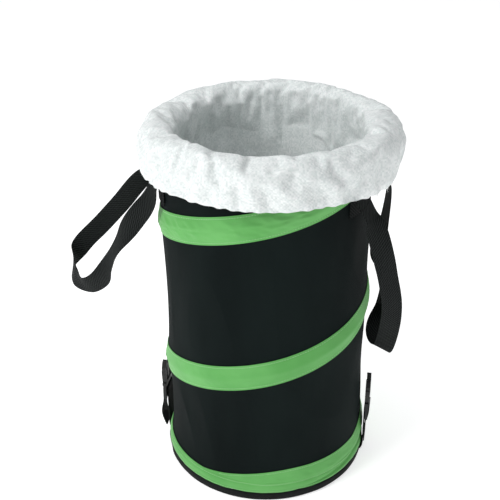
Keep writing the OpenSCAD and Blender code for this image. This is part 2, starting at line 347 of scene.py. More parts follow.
def buckle_plastic():
    mat, bsdf = shader("buckle_plastic", (0.008, 0.009, 0.009), 0.36, specular=0.35)
    rough = add(mat, "ShaderNodeMapRange", Value=mottle(mat, 220), To_Min=0.28, To_Max=0.48)
    mat.node_tree.links.new(rough.outputs[0], bsdf.inputs["Roughness"])
    bump(mat, bsdf, mottle(mat, 1400), 0.00008, 0.5)
    return mat


def wire_steel(name, colour, roughness):
    mat, bsdf = shader(name, colour, roughness, metallic=1.0)
    tint(mat, bsdf, mottle(mat, 300, stretch=(1, 1, 6)), tuple(0.8 * c for c in colour), colour)
    bump(mat, bsdf, mottle(mat, 900, stretch=(1, 1, 0.1)), 0.00005, 0.5)
    return mat


def floor_paint():
    mat, bsdf = shader("pale_floor", (0.9, 0.9, 0.9), 0.9, specular=0.1)
    tint(mat, bsdf, mottle(mat, 3), (0.89, 0.89, 0.89), (0.91, 0.91, 0.91))
    bsdf.inputs["Emission Color"].default_value = (1, 1, 1, 1)
    bsdf.inputs["Emission Strength"].default_value = 0.6
    return mat


BLACK = black_fabric()
GREEN = green_fabric()
GREEN_THREAD = thread("green_thread", (0.42, 0.72, 0.38), 0.3)
BLACK_THREAD = thread("black_thread", (0.012, 0.014, 0.014), 0.2)
TAPE = tape_fabric()
WEBBING = webbing_fabric()
SACK = woven_sack()
PLASTIC = buckle_plastic()
STEEL = wire_steel("spring_steel", (0.55, 0.56, 0.58), 0.32)
CRIMP = wire_steel("crimp_sleeve", (0.70, 0.71, 0.72), 0.38)


# ---------- camera, light and floor ----------
def camera():
    data = bpy.data.cameras.new("camera")
    data.lens = 67.6
    data.sensor_width = 36
    data.shift_x = -0.032
    cam = bpy.data.objects.new("camera", data)
    turn = math.radians(9.5)
    distance, height, down = 1.216, 0.991, math.radians(28.09)
    cam.location = (distance * math.sin(turn), -distance * math.cos(turn), height)
    cam.rotation_euler = (math.pi / 2 - down, 0, turn)
    bpy.context.scene.collection.objects.link(cam)
    bpy.context.scene.camera = cam


def area_light(name, place_at, size, power, aim=(0, 0, 0.3)):
    data = bpy.data.lights.new(name, "AREA")
    data.shape = "DISK"
    data.size = size
    data.energy = power
    obj = bpy.data.objects.new(name, data)
    obj.location = place_at
    obj.rotation_euler = (Vector(aim) - Vector(place_at)).to_track_quat("-Z", "Y").to_euler()
    bpy.context.scene.collection.objects.link(obj)


def studio():
    bpy.context.scene.view_settings.view_transform = "Standard"
    world = bpy.data.worlds.new("studio")
    world.use_nodes = True
    back = world.node_tree.nodes["Background"]
    back.inputs["Color"].default_value = (0.97, 0.98, 1.0, 1)
    back.inputs["Strength"].default_value = 0.42
    bpy.context.scene.world = world
    area_light("key", (-1.4, -1.4, 1.7), 0.9, 26)
    area_light("fill", (1.6, -1.0, 1.1), 1.6, 1.5)
    area_light("top", (-0.3, 0.3, 2.2), 1.2, 8)
    reach, floor_z = 9.0, -0.6 * MM
    line = np.linspace(-reach, reach, 12)
    x, y = np.meshgrid(line, line)
    floor = cloth("floor", np.stack([x, y, np.full_like(x, floor_z)], -1), x, y, floor_paint())


# ---------- spiral band ----------
FOOT_TO, FOOT_TOP = 62, 55 * MM
CASING_OUT = 1.15 * MM


def band_top(f):
    """Upper edge of the spiral casing at f degrees past the front.

    It rises out of the base casing, and then climbs evenly.
    """
    low = 30 * MM + (FOOT_TOP - 30 * MM) * ease((f + 55) / 75)
    return np.where(f < FOOT_TO, low, FOOT_TOP + PITCH * (f - FOOT_TO) / 360)


def band_middle(f):
    return band_top(f) - BAND_W / 2


def wire_ridge(s):
    """How far the casing stands off the wall at s from its middle: fabric drawn over the wire."""
    broad = np.cos(np.pi * np.clip(s / (BAND_W * 1.04), -0.5, 0.5)) ** 2
    sharp = np.exp(-((s / (5 * MM)) ** 2))
    return (2.35 * broad + 1.25 * sharp) * MM


def pulled(along, s, seed, strength):
    """Slanting pull wrinkles of a casing, kept off the wire and the seams."""
    slanted = np.stack(np.broadcast_arrays((along + 0.9 * s) / 2.2, s * 0.35, 0.0), -1)
    wave = field(slanted, 9 * MM, seed, 2)
    ridge = 1 - np.abs(wave) ** 0.7
    off_wire = 1 - np.exp(-((s / (4 * MM)) ** 2))
    off_seam = np.cos(np.pi * np.clip(s / BAND_W, -0.5, 0.5)) ** 0.6
    return strength * ridge * off_wire * off_seam


def stitch_dip(distance_to_seam):
    return -0.28 * MM * np.exp(-((distance_to_seam / (0.9 * MM)) ** 2))


SEAM_IN = 3.2 * MM


def spiral_radius(f, z):
    """Outer surface of the spiral casing at f degrees past the front and height z."""
    s = z - band_middle(f)
    angle = np.radians(f) + FRONT
    along = np.radians(f) * BODY_R
    hard_pulled = np.exp(-(((f - 700) / 75) ** 2)) + np.exp(-(((f - 60) / 60) ** 2)) * 0.35
    pull = pulled(along, s, 3, 0.55 * MM) + hard_pulled * pulled(along * 0.8, s * 1.3, 8, 3.0 * MM)
    edge = BAND_W / 2 - np.abs(s)
    waver = field(np.stack(np.broadcast_arrays(along, 0.0, 0.3), -1), 50 * MM, 5) * 0.4 * MM
    out = wire_ridge(s) + pull + stitch_dip(edge - SEAM_IN) + waver * np.cos(np.pi * s / BAND_W)
    return BODY_R + CASING_OUT + out, angle


def spiral_casing():
    f = np.linspace(SPIRAL_FROM, SPIRAL_TO, 1100)
    low = np.maximum(band_top(f) - BAND_W, BASE_TOP + 0.1 * MM)
    high = np.minimum(band_top(f), RIM_LOW - 0.1 * MM)
    t = np.linspace(0, 1, 27)[:, None]
    z = low + (high - low) * t
    f = np.broadcast_to(f, z.shape)
    r, angle = spiral_radius(f, z)
    u = np.radians(f) * BODY_R
    obj = cloth("spiral_casing_cloth", around(r, angle, z), u, z, GREEN, thick=0.7 * MM)
    place(obj, "base", "green_fabric", "spiral_casing")
    fold_down(obj)


def spiral_wire():
    """The spring inside the casing, built in place of the CAD wire."""
    f = np.linspace(WIRE_FROM, WIRE_TO, 800)
    k = full_turn(10)
    r = WIRE_R + WIRE_D / 2 * np.cos(k)[:, None]
    z = band_middle(f) + WIRE_D / 2 * np.sin(k)[:, None]
    grid = around(r, np.radians(f) + FRONT, z).transpose(1, 0, 2)
    u = np.radians(f)[:, None] * WIRE_R
    v = np.linspace(0, math.pi * WIRE_D, 11)[None, :]
    obj = cloth("coil_wire", grid, u, v, STEEL, wrap=True)
    place(obj, "base", "spring_steel", "spiral_wire")
    fold_down(obj)


# ---------- stitches ----------
STITCH_TURN = np.degrees(3.7 * MM / BODY_R)


def stitches(name, points, along, out, length, radius, material):
    """A row of thread dashes lying on a surface, as one mesh."""
    points, along, out = (np.asarray(a, float) for a in (points, along, out))
    along = unit(along)
    out = unit(out - (out * along).sum(-1, keepdims=True) * along)
    across = np.cross(out, along)
    corner = np.array([[1, 0], [0, 1], [-1, 0], [0, -1]], float) * radius
    dash = [(-0.5 * length, 0, -0.3 * radius)]
    dash += [(-0.28 * length, a, b + 0.45 * radius) for a, b in corner]
    dash += [(0.28 * length, a, b + 0.45 * radius) for a, b in corner]
    dash += [(0.5 * length, 0, -0.3 * radius)]
    dash = np.array(dash)
    local = dash[None, :, 0:1] * along[:, None] + dash[None, :, 1:2] * across[:, None]
    local = local + dash[None, :, 2:3] * out[:, None]
    grid = points[:, None] + local
    faces = []
    for j in range(4):
        k = (j + 1) % 4
        faces += [(0, 1 + k, 1 + j), (1 + j, 1 + k, 5 + k, 5 + j), (5 + j, 5 + k, 9)]
    every = [[10 * i + c for c in face] for i in range(len(points)) for face in faces]
    return link(name, grid, every, material)


def seam_points(surface, f, z):
    """Places, directions and normals of a row of stitches on a surface given as radius(f, z)."""
    r, angle = surface(f, z)
    here = around(r, angle, z)
    return here, np.gradient(here, axis=0), around(1.0, angle, 0.0 * z)


def green_seam(name, rows, body):
    """Rows of light green stitches, as one piece."""
    here, along, out = (np.concatenate([row[i] for row in rows]) for i in range(3))
    obj = stitches(name, here, along, out, 2.9 * MM, 0.4 * MM, GREEN_THREAD)
    return place(obj, body, "green_fabric")


def spiral_seams():
    f = np.arange(SPIRAL_FROM + 2, SPIRAL_TO - 2, STITCH_TURN)
    rows = []
    for z in (band_top(f) - SEAM_IN, band_top(f) - BAND_W + SEAM_IN):
        keep = (z > BASE_TOP + 1.5 * MM) & (z < RIM_LOW - 1.5 * MM)
        rows.append([a[keep] for a in seam_points(spiral_radius, f, z)])
    fold_down(green_seam("spiral_stitching", rows, "base"))


# ---------- wall ----------
def wall_radius(angle, z):
    """The wall is drawn in between the bands that hold it out, with soft folds running up it."""
    turns = np.degrees(angle - FRONT) % 360
    below = np.full(np.broadcast(turns, z).shape, BASE_TOP)
    above = np.full_like(below, RIM_LOW)
    for k in range(3):
        f = turns + 360 * k
        inside = (f > SPIRAL_FROM) & (f < SPIRAL_TO)
        top = band_top(f)
        low = top - BAND_W
        below = np.where(inside & (top <= z + BAND_W / 2) & (top > below), top, below)
        above = np.where(inside & (low > z - BAND_W / 2) & (low < above), low, above)
    top = band_top(turns - 360)
    inside = turns - 360 > SPIRAL_FROM
    below = np.where(inside & (top > below) & (top <= z + BAND_W / 2), top, below)
    height = np.maximum(above - below, 1 * MM)
    t = np.clip((z - below) / height, 0, 1)
    drawn = np.sin(np.pi * t) ** 0.8 * np.clip(height / (120 * MM), 0.1, 1)
    where = around(BODY_R, angle, z * 0.35)
    folds = field(where, 75 * MM, 11, 2)
    slant = around(BODY_R, angle + z * 1.1, z * 0.4)
    pull = (1 - np.abs(field(slant, 85 * MM, 13, 1))) ** 2
    depth = 3.0 * drawn + drawn * (2.3 * folds - 2.0 * pull)
    return BODY_R - np.clip(depth, -1.0, 5.6) * MM


def wall():
    angle = full_turn(420)
    z = np.linspace(3 * MM, RIM_LOW + 6 * MM, 230)[:, None]
    grid = around(wall_radius(angle[None, :], z), angle, z)
    obj = cloth("wall_cloth", grid, girth(420), z, BLACK, wrap=True, thick=0.8 * MM)
    place(obj, "base", "black_fabric", "wall_fabric")
    fold_down(obj)


# ---------- base ----------
# section of the base casing: height, and how far it stands off the wall
BASE_Z = np.array([10.5, 13.2, 15.0, 17.0, 19, 21.5, 25.5, 28.5, 31, 33.2]) * MM
BASE_OUT = np.array([2.6, 3.4, 4.2, 4.9, 5.1, 4.9, 4.6, 3.6, 2.4, 1.15]) * MM
BASE_SEAM = TAPE_TOP + 1.8 * MM


def base_radius(f, z):
    """Casing round the base ring, with the foot of the spiral rising out of it, over a crease."""
    plain = np.interp(z, BASE_Z, BASE_OUT)
    s = z - band_middle(f)
    spring = (wire_ridge(s) + CASING_OUT) * ease((f - SPIRAL_FROM) / 40) * (f < 60)
    crease_z = (16 + 15 * np.clip((f - 20) / 65, 0, 1)) * MM
    crease = np.exp(-(((z - crease_z) / (2.6 * MM)) ** 2)) * ease((f - 5) / 40) * ease((105 - f) / 20)
    crease = 3.6 * MM * crease * ease((z - 15.5 * MM) / (3 * MM))
    along = np.radians(f) * BODY_R
    pull = pulled(along, (z - 20 * MM) * 1.5, 21, 0.5 * MM)
    dip = stitch_dip(z - BASE_TOP + SEAM_IN) + stitch_dip(z - BASE_SEAM)
    return BODY_R + np.maximum(plain, spring) + pull + dip - crease, np.radians(f) + FRONT


def base_casing():
    f = np.linspace(-180, 180, 480, endpoint=False)
    z = np.linspace(BASE_Z[0], BASE_Z[-1], 22)[:, None]
    grid = around(*base_radius(f[None, :], z), z)
    obj = cloth("base_casing_cloth", grid, girth(480), z, GREEN, wrap=True, thick=0.6 * MM)
    place(obj, "base", "green_fabric", "base_casing")
    f = np.arange(-180, 180, STITCH_TURN)
    levels = (BASE_TOP - SEAM_IN, BASE_SEAM)
    rows = [seam_points(base_radius, f, np.full_like(f, level)) for level in levels]
    green_seam("base_stitching", rows, "base")


def base_binding():
    """Tape folded over the raw edge of the base, a little wavy where it was sewn."""
    section = [(146.5, 1.2), (147, 0.4), (149, 0.15), (152.2, 0.2), (153.8, 1.2), (154.7, 3.4)]
    section += [(155.1, 7.0), (155.2, 10.6), (155.1, 13.4), (154.4, 15.0), (152.8, 15.6)]
    section = np.array(section) * MM
    angle = full_turn(460)
    wave = field(around(BODY_R, angle, 0.0), 30 * MM, 31) * 1.1 * MM
    share = np.clip(section[:, 1] / TAPE_TOP, 0, 1)[:, None]
    r = section[:, 0:1] + wave * np.sin(np.pi * np.clip(share * 0.85, 0, 1))
    z = section[:, 1:2] + field(around(BODY_R, angle, 0.2), 34 * MM, 32) * 0.9 * MM * share
    v = run_length(section)[:, None]
    grid = around(r, angle, z)
    obj = cloth("base_binding_tape", grid, girth(460), v, TAPE, wrap=True, thick=0.5 * MM)
    place(obj, "base", "black_tape", "base_binding")
    at = np.arange(0, 2 * np.pi, 4.0 * MM / BODY_R)
    wave = field(around(BODY_R, at, 0.0), 30 * MM, 31) * 0.8 * MM
    here = around(BINDING_R + 2.9 * MM + wave, at, 11.5 * MM)
    along, out = around(1.0, at + np.pi / 2, 0.0), around(1.0, at, 0.0)
    seam = stitches("binding_stitching", here, along, out, 3.0 * MM, 0.32 * MM, BLACK_THREAD)
    place(seam, "base", "black_tape")


def base_panel():
    """Round floor of the bag, a little slack, with the seam allowance pressed flat at its edge."""
    angle = full_turn(200)
    r = np.linspace(0.5 * MM, BODY_R - 1.2 * MM, 60)[:, None]
    flat = around(r, angle, 0.0)
    slack = (field(flat, 55 * MM, 41) + 0.5 * field(flat, 22 * MM, 42)) * 0.35 * MM
    z = 1.15 * MM + slack * np.clip((BODY_R - r) / (25 * MM), 0, 1)
    grid = around(r, angle, z)[::-1]
    obj = cloth("base_panel_cloth", grid, girth(200), r[::-1], BLACK, wrap=True)
    obj.data.uv_layers["cloth"].data.foreach_set("uv", panel_uv(obj.data))
    thicken(obj, 0.8 * MM, 0)
    place(obj, "base", "black_fabric", "base_panel")


def panel_uv(mesh):
    """The panel is one flat sheet, so its metres of cloth are those of the plan."""
    co = np.array([v.co for v in mesh.vertices])[:, :2]
    return co[[loop.vertex_index for loop in mesh.loops]].astype(np.float32).ravel()


# ---------- rim ----------
# section of the rim casing: height over its lower edge, and how far it stands off the wall
RIM_Z = np.array([0, 4, 9, 14, 20, 26, 30, 32]) * MM
RIM_OUT = np.array([1.1, 3.0, 4.4, 4.85, 4.85, 3.9, 2.6, 1.6]) * MM


def rim_radius(f, z):
    plain = np.interp(z - RIM_LOW, RIM_Z, RIM_OUT)
    along = np.radians(f) * BODY_R
    pull = pulled(along, (z - RIM_LOW - 17 * MM) * 1.2, 51, 0.5 * MM)
    dip = stitch_dip(z - RIM_LOW - SEAM_IN)
    return BODY_R + plain + pull + dip, np.radians(f) + FRONT


def rim():
    f = np.linspace(0, 360, 480, endpoint=False)
    z = np.linspace(RIM_LOW, RIM_HIGH, 26)[:, None]
    grid = around(*rim_radius(f[None, :], z), z)
    obj = cloth("rim_casing_cloth", grid, girth(480), z, GREEN, wrap=True, thick=0.6 * MM)
    place(obj, "rim", "green_fabric", "rim_casing")
    f = np.arange(0, 360, STITCH_TURN)
    green_seam("rim_stitching", [seam_points(rim_radius, f, np.full_like(f, RIM_LOW + SEAM_IN))], "rim")
    rim_binding()


def rim_binding():
    """Tape folded over the top edge, from the inside of the wall to the outside."""
    turn = np.linspace(np.pi, 0, 9)
    section = [(148.9, 526.5), (148.9, 533)]
    section += [(151 + 2.1 * math.cos(a), 537.8 + 2.1 * math.sin(a)) for a in turn]
    section += [(153.1, 534.5), (153.0, 531.4)]
    section = np.array(section) * MM
    angle = full_turn(420)
    wave = field(around(BODY_R, angle, 0.5), 30 * MM, 61) * 0.2 * MM
    v = run_length(section)[:, None]
    grid = around(section[:, 0:1], angle, section[:, 1:2] + wave)[::-1]
    obj = cloth("rim_binding_tape", grid, girth(420), v[::-1], TAPE, wrap=True, thick=0.5 * MM)
    place(obj, "rim", "black_tape", "rim_binding")


# ---------- webbing ----------
def strap_section(width, thick):
    """Flat section of woven webbing with rounded selvages, as (across, through)."""
    flat = width / 2 - thick / 2
    top = [(x, thick / 2) for x in np.linspace(flat, -flat, 9)]
    edge = (math.pi / 4, math.pi / 2, 3 * math.pi / 4)
    left = [(-flat - thick / 2 * math.sin(a), thick / 2 * math.cos(a)) for a in edge]
    bottom = [(x, -thick / 2) for x in np.linspace(-flat, flat, 9)]
    right = [(-x, y) for x, y in left[::-1]]
    return np.array(top + left + bottom + right)


def webbing(name, centre, across, width=WEB_W, thick=WEB_T):
    """A strap along a line of points. across says which way its width points at each of them."""
    centre, across = np.asarray(centre, float), np.asarray(across, float)
    along = unit(np.gradient(centre, axis=0))
    w = unit(across - (across * along).sum(-1, keepdims=True) * along)
    n = np.cross(along, w)
    section = strap_section(width, thick)
    grid = centre[:, None] + section[None, :, 0:1] * w[:, None] + section[None, :, 1:2] * n[:, None]
    rows, cols = grid.shape[:2]
    length = run_length(centre)[:, None]
    v = np.append(section[:, 0], section[0, 0])[None, :]
    obj = cloth(name, grid, length, v, WEBBING, wrap=True)
    close_ends(obj, rows, cols)
    return obj


def close_ends(obj, rows, cols):
    """Adds the two end faces of a strap, keeping the cloth's metres."""
    mesh = obj.data
    old = [list(p.vertices) for p in mesh.polygons]
    uv = np.array([d.uv for d in mesh.uv_layers["cloth"].data])
    by_vertex = {}
    for loop, value in zip(mesh.loops, uv):
        by_vertex.setdefault(loop.vertex_index, value)
    ends = [list(range(cols)), [(rows - 1) * cols + j for j in range(cols - 1, -1, -1)]]
    points = [v.co[:] for v in mesh.vertices]
    material = mesh.materials[0]
    mesh.clear_geometry()
    mesh.from_pydata(points, [], old + ends)
    corners = np.concatenate([uv, [by_vertex[j] for end in ends for j in end]])
    layer = mesh.uv_layers.get("cloth") or mesh.uv_layers.new(name="cloth")
    layer.data.foreach_set("uv", corners.astype(np.float32).ravel())
    mesh.polygons.foreach_set("use_smooth", np.array([True] * len(old) + [False, False]))
    if not mesh.materials:
        mesh.materials.append(material)
    mesh.update()


def smooth_path(knots, per_step):
    """Smooth curve through rows of numbers, in so many steps from each to the next."""
    p = np.asarray(knots, float)
    p = np.vstack([2 * p[0] - p[1], p, 2 * p[-1] - p[-2]])
    out = []
    for i in range(1, len(p) - 2):
        out.append(between(*p[i - 1 : i + 3], (np.arange(per_step) / per_step)[:, None]))
    return np.vstack([*out, p[-2]])


# where each loop leaves its roots, and its first turn below them, in millimetres
ROOT_U = ROOT_R * math.cos(HANDLE_AZ) / MM
ROOT_V = ROOT_R * math.sin(HANDLE_AZ) / MM
ROOT_H = ROOT_Z / MM
TURN_U = ROOT_U + 13.5
TURN_H = ROOT_H - 26.5
TAN_U, TAN_V = math.sin(HANDLE_AZ), math.cos(HANDLE_AZ)

# millimetres: outward, sideways, height, then the direction of the webbing's width
LEFT_LOOP = [
    (ROOT_U, -ROOT_V, ROOT_H, TAN_U, TAN_V, 0),
    (TURN_U - 3, -75, TURN_H, 0.75, 0.55, 0.3),
    (174, -72, 412, 0.85, 0.15, 0.5),
    (204, -66, 367, 0.4, 0.85, 0.35),
    (222, -57, 333, 0.45, 0.75, 0.5),
    (242, -46, 297, 0.75, 0.1, 0.65),
    (270, -32, 275, 0.6, 0, 0.75),
    (297, -8, 276, 0.1, 0.45, 0.85),
    (308, 24, 287, 0.0, 0.4, 0.9),
    (301, 50, 303, 0.45, 0.25, 0.85),
    (274, 67, 330, 0.65, 0.05, 0.7),
    (242, 72, 366, 0.7, 0, 0.7),
    (203, 74, 412, 0.65, -0.25, 0.6),
    (TURN_U, 74, TURN_H, 0.3, -0.95, 0),
    (ROOT_U, ROOT_V, ROOT_H, TAN_U, -TAN_V, 0),
]
RIGHT_LOOP = [
    (ROOT_U, -ROOT_V, ROOT_H, TAN_U, TAN_V, 0),
    (TURN_U, -74, TURN_H, 0.45, 0.9, 0),
    (161, -73, 428, 0.8, 0.55, 0.1),
    (171, -71, 393, 0.95, 0.2, 0.25),
    (181, -66, 350, 0.85, 0.45, 0.2),
    (189, -57, 300, 0.85, 0.3, 0.1),
    (187, -40, 248, 0.9, 0.1, -0.1),
    (178, -12, 197, 0.85, 0.1, -0.5),
    (166, 18, 205, 0.95, 0.1, -0.3),
    (172, 36, 243, 0.5, -0.8, 0),
    (172, 50, 285, 0.3, -0.9, 0),
    (162, 62, 318, 0.85, -0.5, 0),
    (166, 70, 352, 0.5, -0.85, 0),
    (171, 74, 428, 0.25, -1, 0),
    (TURN_U, 74, TURN_H, 0.3, -0.95, 0),
    (ROOT_U, ROOT_V, ROOT_H, TAN_U, -TAN_V, 0),
]
PER_STEP = 16
ROOT_STEPS = 6


def mirrored(points, side):
    """The loops are listed as if on the right side; side -1 turns them to the left."""
    return points * np.array([side, 1, 1])


def sewn_tab(name, azimuth):
    """One handle end sewn flat up the wall, over the bands that it crosses, to its fold at the rim.

    It is cut where the rim starts: the upper piece rides the rim and the lower one the base.
    """
    f = np.degrees(azimuth - FRONT) % 360
    z = np.linspace(RIM_HIGH - TAB_L, RIM_HIGH - FOLD_DOWN, 44)
    stands = np.full(len(z), 1.5 * MM)
    for k in range(3):
        r, _ = spiral_radius(np.full(len(z), f + 360 * k), z)
        top = band_top(f + 360 * k)
        inside = (z < top) & (z > top - BAND_W)
        stands = np.where(inside, np.maximum(stands, r - BODY_R + 1.4 * MM), stands)
    stands = np.where(z > RIM_LOW - 3 * MM, CASING_R - BODY_R + 1.1 * MM, stands)
    for _ in range(8):
        stands[1:-1] = np.maximum(stands[1:-1], (stands[:-2] + stands[2:]) / 2)
    on_rim = np.append(RIM_LOW, z[z > RIM_LOW + 0.2 * MM])
    on_wall = np.append(z[z < RIM_LOW - 0.2 * MM], RIM_LOW)
    upper = wrapped_strap(name + "_sewn", azimuth, BODY_R + np.interp(on_rim, z, stands), on_rim)
    place(upper, "rim", "webbing", name + "_tab")
    lower = wrapped_strap(name + "_sewn_end", azimuth, BODY_R + np.interp(on_wall, z, stands), on_wall)
    place(lower, "base", "webbing")
    fold_down(lower)
    cross_stitch(name, azimuth, z, stands)


def cross_stitch(name, azimuth, z, stands):
    """A box with a cross in it, sewn through the lower end of a tab."""
    low, side = z[0] + 3 * MM, WEB_W / 2 - 3 * MM
    high = low + 24 * MM
    corners = np.array([(-side, low), (side, low), (side, high), (-side, high), (-side, low),
                        (side, high), (-side, high), (side, low)])
    path = []
    for a, b in zip(corners[:-1], corners[1:]):
        count = max(2, int(np.hypot(*(b - a)) / (3.4 * MM)))
        path.append(np.linspace(a, b, count, endpoint=False))
    y, h = np.concatenate(path).T
    step = np.concatenate([np.gradient(part, axis=0) for part in path])
    turn = azimuth + y / BODY_R
    here = around(BODY_R + np.interp(h, z, stands) + WEB_T / 2, turn, h)
    along = around(0.0, turn, step[:, 1]) + around(1.0, turn + np.pi / 2, 0.0) * step[:, 0:1]
    out = around(1.0, turn, 0.0)
    seam = stitches(name + "_cross_stitch", here, along, out, 2.6 * MM, 0.3 * MM, BLACK_THREAD)
    place(seam, "base", "webbing")
    fold_down(seam)


def wrapped_strap(name, azimuth, r, z):
    """A strap lying on the wall and bent round it, from lists of radius and height."""
    section = strap_section(WEB_W, WEB_T)
    angle = azimuth + section[None, :, 0] / BODY_R
    grid = around(r[:, None] + section[None, :, 1], angle, z[:, None] + 0 * angle)
    v = np.append(section[:, 0], section[0, 0])[None, :]
    obj = cloth(name, grid[::-1], z[::-1, None], v, WEBBING, wrap=True)
    close_ends(obj, *grid.shape[:2])
    return obj


def fold_knots(side, sign):
    """The turn at the rim: from the sewn end outward and down to where the loop starts."""
    inner, outer = CASING_R + 1.1 * MM, ROOT_R
    top = RIM_HIGH - FOLD_DOWN
    a = np.linspace(math.pi, 0, 9)
    r = (inner + outer) / 2 + (outer - inner) / 2 * np.cos(a)
    z = top + (outer - inner) / 2 * np.sin(a)
    down = np.linspace(top - 4 * MM, ROOT_Z + 6 * MM, 8)
    r, z = np.append(r, np.full(8, outer)), np.append(z, down)
    angle = sign * HANDLE_AZ
    points = around(r, angle, z)
    across = np.broadcast_to([TAN_U, -sign * TAN_V, 0], points.shape)
    return mirrored(points, side), mirrored(across, side)


def handle(name, side, knots):
    """Fold, root and loop of one handle."""
    curve = smooth_path(knots, PER_STEP)
    points, across = mirrored(curve[:, :3] * MM, side), mirrored(curve[:, 3:], side)
    n = len(points)
    front, rear = slice(0, ROOT_STEPS + 1), slice(n - 1, n - ROOT_STEPS - 2, -1)
    for end, sign, cut in (("front", -1, front), ("rear", 1, rear)):
        fold, fold_across = fold_knots(side, sign)
        centre = np.concatenate([fold, points[cut]])
        wide = np.concatenate([fold_across, across[cut]])
        root = webbing(f"{name}_{end}_fold", centre, wide)
        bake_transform(root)
        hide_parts(f"{name}_{end}_root")
        sewn_tab(f"{name}_{end}", math.atan2(points[cut][0][1], points[cut][0][0]))
    inner = slice(ROOT_STEPS, n - ROOT_STEPS)
    loop = webbing(name + "_strap", points[inner], across[inner])
    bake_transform(loop)
    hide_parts(name + "_loop")


# ---------- side straps and buckles, in millimetres ----------
STRAP_T = 1.4
BUCKLE_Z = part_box("male_buckle_right")[0].z / MM
STRAP_IN = 157.8
STRAP_OUT = 165.0


def half_turn(inner, outer, level, deep):
    """The curve from inner to outer round a bar: over it if deep is positive, else under it."""
    middle, half = (inner + outer) / 2, (outer - inner) / 2
    angles = np.linspace(math.pi, 0, 6)
    return [(middle + half * math.cos(a), level + deep * math.sin(a)) for a in angles]


def side_strap(name, side, outline, body, node, per_step=6):
    """A strap that runs in the plane across the side of the bag, through points (out, height)."""
    path = smooth_path(np.array(outline, float), per_step)
    centre = np.stack([side * path[:, 0], 0 * path[:, 0], path[:, 1]], -1) * MM
    across = np.broadcast_to([0.0, 1.0, 0.0], centre.shape)
    obj = webbing(name, centre, across, thick=STRAP_T * MM)
    return place(obj, body, "webbing", node)


def base_strap(name, side):
    """From the base seam up through the buckle's slot, and back down as a free tail."""
    outline = [(154.2, 4), (157.2, 12), (157.8, 24), (157.6, 42), (157.8, 60)]
    outline += half_turn(STRAP_IN, STRAP_OUT, BUCKLE_Z + 16.4, 3.2)
    if side < 0:
        outline += [(165.2, 68), (165.7, 58), (168.2, 46), (169.4, 36), (168.0, 26), (165.2, 17)]
        outline += [(162.6, 10)]
    else:
        outline += [(163.6, 69), (160.6, 58), (159.8, 46), (159.7, 36), (159.7, 28), (159.7, 20)]
    side_strap(f"{name}_webbing", side, outline, name, name)
    bar_tack(f"{name}_tack", side, 157.4 + STRAP_T / 2, 17, name)


def rim_strap(name, side):
    """Short loop of strap that carries the socket half of the buckle."""
    inner, outer = CASING_R / MM + 1.1, CASING_R / MM + 8.3
    top = RIM_HIGH / MM
    outline = [(inner, top - 3), (inner, top - 10), *half_turn(inner, outer, top - 18, -3.6)]
    outline += [(outer, top - 12), (outer, top - 6)]
    side_strap(f"{name}_webbing", side, outline, name, name)


def bar_tack(name, side, out, height, body):
    """Two close rows of zigzag thread across a strap."""
    y = np.arange(-12, 12.1, 1.1)
    x = np.full(len(y), side * out)
    zigzag = 0.5 * (-1) ** np.arange(len(y))
    rows = [np.stack([x, y, height + row + zigzag], -1) for row in (0, 2.2)]
    here = np.concatenate(rows) * MM
    along = np.broadcast_to([0.0, 0.35, 1.0], here.shape)
    outward = np.broadcast_to([side * 1.0, 0, 0], here.shape)
    obj = stitches(name, here, along, outward, 2.2 * MM, 0.3 * MM, BLACK_THREAD)
    place(obj, body, "webbing")


def finish_cad_parts():
    """Hard parts keep their CAD shape and get moulded edges and their own materials."""
    for name in ("male_buckle_left", "male_buckle_right", "female_buckle_left", "female_buckle_right"):
        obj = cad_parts[name]
        edge = obj.modifiers.new("moulded_edges", "BEVEL")
        edge.width = 0.45 * MM
        edge.segments = 3
        edge.limit_method = "ANGLE"
        edge.angle_limit = math.radians(28)
        dress(obj, PLASTIC)
    for name in ("base_wire", "rim_wire"):
        dress(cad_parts[name], STEEL)
    for name in ("base_wire_sleeve", "rim_wire_sleeve"):
        dress(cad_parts[name], CRIMP)


def dress(obj, material):
    for s in obj.material_slots:
        s.material = material


# ---------- liner sack ----------
SACK_R = 143.2 * MM
SACK_FLAT = (1.16, 0.60)
CUFF_FLAT = (1.16, 0.10)
COLS = 480
SACK_ROWS = 170
SIM_ROWS, SIM_COLS = 42, 130
SACK_THICK = 0.35 * MM

# below this height the sack inside is plain, and above it crumples as one sheet with the cuff
PLAIN_TO = 300 * MM

# how firmly rows of that sheet are held: its lower edge, the turn over the rim, and the hem
HELD_ROWS = {0: 1.0, 1: 1.0, 27: 0.5, SIM_ROWS - 1: 0.92}
SPREAD = 0.040
FRAMES = 24
MOVE_CAP = 9 * MM


def flutes(angle):
    """Gathers of the sack where it is drawn in over the rim."""
    ring = around(1.0, angle, 0.0)
    return 0.65 * field(ring, 0.34, 71, 2) + 0.45 * field(ring, 0.13, 72, 2)


